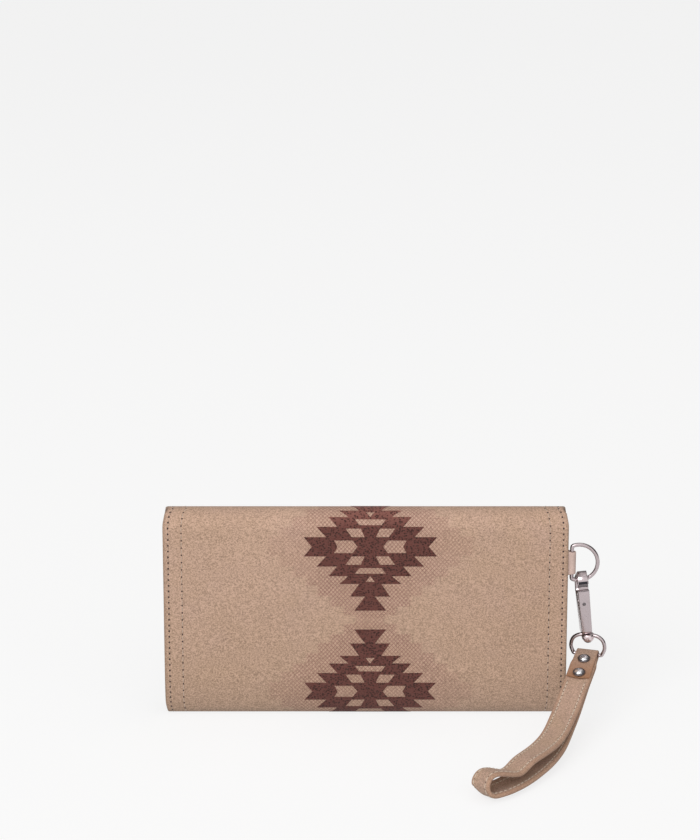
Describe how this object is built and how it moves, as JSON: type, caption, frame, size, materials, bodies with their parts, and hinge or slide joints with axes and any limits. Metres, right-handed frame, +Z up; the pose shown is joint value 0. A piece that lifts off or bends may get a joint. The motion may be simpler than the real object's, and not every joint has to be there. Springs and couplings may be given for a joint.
{
  "type": "wristlet wallet",
  "caption": "Flap-over gusseted wristlet wallet with a zipped coin divider and card pockets, and a swivel hook wrist strap on a side D-ring.",
  "frame": {"origin": "middle of the flat strip that the bottom fold rests on", "axes": "+X along the wallet's width towards the D-ring, -Y out of the back panel, +Z up"},
  "size_m": [0.2199, 0.1338, 0.106],
  "materials": {
    "cover_suede": "beige suede-feel leather, matt",
    "strap_leather": "beige strap leather, stitched",
    "tab_leather": "pale beige leather",
    "card_leather": "smooth taupe leather",
    "lining_cloth": "woven lining cloth",
    "greyboard": "grey board",
    "zip_tape": "woven zip tape",
    "zip_metal": "antique nickel-plated brass",
    "nickel": "dark antique nickel, polished",
    "dark_steel": "dark plated steel",
    "clear_vinyl": "clear vinyl"
  },
  "bodies": {
    "back": {"cover_back": "cover_suede", "back_board": "greyboard", "back_lining": "lining_cloth", "card_pocket_1": "card_leather", "card_pocket_2": "card_leather", "card_pocket_3": "card_leather", "gusset_left": "cover_suede", "gusset_right": "cover_suede", "ring_tab": "tab_leather"},
    "spine": {"cover_spine": "cover_suede", "spine_lining": "lining_cloth"},
    "flap": {"cover_flap": "cover_suede", "flap_lining": "lining_cloth", "flap_card_pocket": "card_leather", "id_window": "clear_vinyl", "snap_cap": "nickel", "snap_socket": "nickel"},
    "front_panel": {"cover_front": "cover_suede", "front_lining": "lining_cloth", "snap_stud": "nickel"},
    "coin_divider": {"coin_pocket": "lining_cloth", "zip_tape_front": "zip_tape", "zip_tape_rear": "zip_tape", "zip_teeth_front": "zip_metal", "zip_teeth_rear": "zip_metal", "zip_stop_closed": "zip_metal", "zip_stop_open": "zip_metal"},
    "slider": {"zip_slider": "zip_metal"},
    "pull": {"zip_pull": "zip_metal"},
    "ring": {"d_ring": "nickel"},
    "hook": {"hook_body": "nickel", "gate_pin": "dark_steel", "gate_spring": "dark_steel", "swivel_stem": "dark_steel"},
    "gate": {"hook_gate": "nickel"},
    "eye": {"swivel_eye": "nickel"},
    "strap": {"wrist_strap": "strap_leather", "rivet_cap_1": "nickel", "rivet_cap_2": "nickel", "rivet_post_1": "dark_steel", "rivet_post_2": "dark_steel"}
  },
  "joints": [
    {"name": "spine_hinge", "type": "hinge", "parent": "back", "child": "spine", "pos_m": [0, -0.00999, 0.09635], "axis": [1, 0, 0], "range_deg": [0, 90]},
    {"name": "flap_hinge", "type": "hinge", "parent": "spine", "child": "flap", "pos_m": [0, 0.00999, 0.09635], "axis": [1, 0, 0], "range_deg": [0, 90]},
    {"name": "front_panel_hinge", "type": "hinge", "parent": "back", "child": "front_panel", "pos_m": [0, 0.0092, 0.021], "axis": [-1, 0, 0], "range_deg": [0, 12], "deforming": ["gusset_left", "gusset_right"]},
    {"name": "coin_divider_hinge", "type": "hinge", "parent": "back", "child": "coin_divider", "pos_m": [0, 0, 0.011], "axis": [-1, 0, 0], "range_deg": [0, 6]},
    {"name": "zip_slide", "type": "slide", "parent": "coin_divider", "child": "slider", "axis": [-1, 0, 0], "range_m": [0, 0.156]},
    {"name": "zip_pull_hinge", "type": "hinge", "parent": "slider", "child": "pull", "pos_m": [0.078, 0, 0.08645], "axis": [0, 1, 0], "range_deg": [0, 180]},
    {"name": "d_ring_hinge", "type": "hinge", "parent": "back", "child": "ring", "pos_m": [0.1019, -0.008, 0.0799], "axis": [0, 0, 1], "range_deg": [-10, 60]},
    {"name": "hook_swing", "type": "hinge", "parent": "ring", "child": "hook", "pos_m": [0.10735, -0.008, 0.07085], "axis": [-0.9945, 0, -0.1045], "range_deg": [-5, 70]},
    {"name": "gate_hinge", "type": "hinge", "parent": "hook", "child": "gate", "pos_m": [0.10841, -0.0099, 0.0608], "axis": [-0.9945, 0, -0.1045], "range_deg": [0, 15], "stiffness_Nm_per_rad": 0.01, "springref_deg": -11.46},
    {"name": "swivel_turn", "type": "hinge", "parent": "hook", "child": "eye", "pos_m": [0.11084, -0.008, 0.0427], "axis": [0, 0, 1], "range_deg": [0, 150]},
    {"name": "strap_hinge", "type": "hinge", "parent": "eye", "child": "strap", "pos_m": [0.11084, -0.008, 0.03155], "axis": [-0.9521, 0.3057, 0], "range_deg": [-15, 50]}
  ],
  "couplings": [
    {"joint": "flap_hinge", "follows": "spine_hinge", "ratio": 1},
    {"joint": "front_panel_hinge", "follows": "spine_hinge", "ratio": 0.13333},
    {"joint": "coin_divider_hinge", "follows": "spine_hinge", "ratio": 0.066666}
  ]
}
